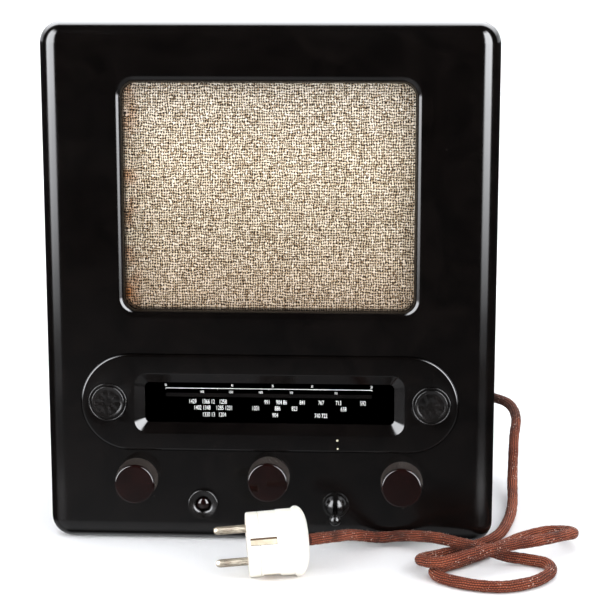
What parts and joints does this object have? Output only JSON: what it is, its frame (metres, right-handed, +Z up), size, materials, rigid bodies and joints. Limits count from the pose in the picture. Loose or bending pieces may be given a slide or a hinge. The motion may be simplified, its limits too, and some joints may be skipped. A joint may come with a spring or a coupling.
{
  "type": "table radio",
  "caption": "Upright bakelite table radio with a loudspeaker grille cloth, oval dial, knobs, toggle switch, full chassis inside and a braided mains lead with plug.",
  "frame": {"origin": "middle of the base, half way between the knobs' faces and the back rim", "axes": "+Z up, the front faces -Y, +X is to the right seen from the front"},
  "size_m": [0.3288, 0.2969, 0.3205],
  "materials": {
    "black_bakelite": "polished moulding",
    "brown_bakelite": "polished moulding",
    "loudspeaker_cloth": "loose plain weave with slubs",
    "dial_glass": "black-backed printed glass",
    "plated_steel": "zinc plated",
    "white_card": "matt white",
    "red_pointer": "red paint",
    "fibreboard": "pressed board",
    "black_frame": "stove enamel",
    "cone_paper": "pressed pulp",
    "coil_copper": "varnished wire",
    "iron": "painted",
    "lamination": "varnished stack",
    "aluminium": "bright",
    "drive_string": "waxed",
    "pertinax": "laminated paper",
    "brass": "turned",
    "lamp_glass": "clear",
    "valve_glass": "clear",
    "black_card": "hard board",
    "soft_black": "matt",
    "cord_braid": "brown braid",
    "cream_plastic": "smooth moulding",
    "nickel": "nickel plate"
  },
  "bodies": {
    "radio": {"cabinet": "black_bakelite", "dial_bezel": "black_bakelite", "dial_glass": "dial_glass", "dial_retainer": "plated_steel", "dial_reflector": "white_card", "medallion_left": "black_bakelite", "medallion_right": "black_bakelite", "pointer_rail": "plated_steel", "speaker_cloth": "loudspeaker_cloth", "baffle_board": "fibreboard", "speaker_basket": "black_frame", "speaker_surround": "cone_paper", "speaker_spider": "pertinax", "speaker_magnet": "iron", "output_transformer": "lamination", "chassis": "plated_steel", "cabinet_screws": "plated_steel", "mains_transformer_core": "lamination", "mains_transformer_coil": "coil_copper", "smoothing_capacitors": "aluminium", "tuning_stator": "aluminium", "drive_cord": "drive_string", "pointer_cord": "drive_string", "shaft_bushes": "brass", "coupler_case": "black_card", "reaction_case": "black_card", "trimmer_collar": "black_bakelite", "toggle_hub": "black_bakelite", "dial_lamp": "lamp_glass", "lamp_holder": "brass", "valve_sockets": "black_card", "valve_bases": "brown_bakelite", "valve_envelopes": "valve_glass", "coil_former": "pertinax", "coil_winding": "coil_copper", "component_board": "pertinax", "back_panel": "black_card", "back_screws": "nickel", "socket_strip": "pertinax", "strain_relief": "soft_black", "mains_cord": "cord_braid", "plug_body": "cream_plastic", "plug_pins": "nickel", "plug_clips": "nickel"},
    "tuning_knob": {"knob_centre": "brown_bakelite", "tuning_spindle": "plated_steel"},
    "rotor": {"tuning_rotor": "aluminium", "cord_drum": "pertinax"},
    "pointer_slider": {"pointer": "red_pointer"},
    "left_pulley": {"pulley_left": "brass"},
    "right_pulley": {"pulley_right": "brass"},
    "left_knob": {"knob_left": "brown_bakelite", "coupler_shaft": "plated_steel"},
    "right_knob": {"knob_right": "brown_bakelite", "reaction_shaft": "plated_steel"},
    "trimmer": {"trimmer_spindle": "brown_bakelite"},
    "switch_lever": {"toggle_lever": "black_bakelite"},
    "speaker_diaphragm": {"speaker_cone": "cone_paper", "voice_coil": "coil_copper"}
  },
  "joints": [
    {"name": "rotor_turn", "type": "hinge", "parent": "radio", "child": "rotor", "pos_m": [0, -0.0343, 0.0945], "axis": [0, 1, 0], "range_deg": [-40, 140]},
    {"name": "tuning_knob_turn", "type": "hinge", "parent": "radio", "child": "tuning_knob", "pos_m": [0, -0.0743, 0.0433], "axis": [0, 1, 0], "range_deg": [-321, 1121]},
    {"name": "pointer_travel", "type": "slide", "parent": "radio", "child": "pointer_slider", "axis": [1, 0, 0], "range_m": [-0.028, 0.098]},
    {"name": "left_pulley_turn", "type": "hinge", "parent": "radio", "child": "left_pulley", "pos_m": [-0.092, -0.0523, 0.1324], "axis": [0, 1, 0], "range_deg": [-321, 1121]},
    {"name": "right_pulley_turn", "type": "hinge", "parent": "radio", "child": "right_pulley", "pos_m": [0.092, -0.0523, 0.1324], "axis": [0, 1, 0], "range_deg": [-321, 1121]},
    {"name": "left_knob_turn", "type": "hinge", "parent": "radio", "child": "left_knob", "pos_m": [-0.0815, -0.0743, 0.0412], "axis": [0, 1, 0], "range_deg": [-90, 90]},
    {"name": "right_knob_turn", "type": "hinge", "parent": "radio", "child": "right_knob", "pos_m": [0.0815, -0.0743, 0.0412], "axis": [0, 1, 0], "range_deg": [-90, 90]},
    {"name": "trimmer_turn", "type": "hinge", "parent": "radio", "child": "trimmer", "pos_m": [-0.041, -0.0743, 0.025], "axis": [0, 1, 0], "range_deg": [-135, 135]},
    {"name": "switch_flip", "type": "hinge", "parent": "radio", "child": "switch_lever", "pos_m": [0.041, -0.0753, 0.0255], "axis": [-1, 0, 0], "range_deg": [0, 60]},
    {"name": "cone_travel", "type": "slide", "parent": "radio", "child": "speaker_diaphragm", "axis": [0, 1, 0], "range_m": [-0.001, 0.001], "stiffness_N_per_m": 1500}
  ],
  "couplings": [
    {"joint": "tuning_knob_turn", "follows": "rotor_turn", "ratio": 8},
    {"joint": "pointer_travel", "follows": "rotor_turn", "m_per_rad": 0.04},
    {"joint": "left_pulley_turn", "follows": "rotor_turn", "ratio": 8},
    {"joint": "right_pulley_turn", "follows": "rotor_turn", "ratio": 8}
  ]
}
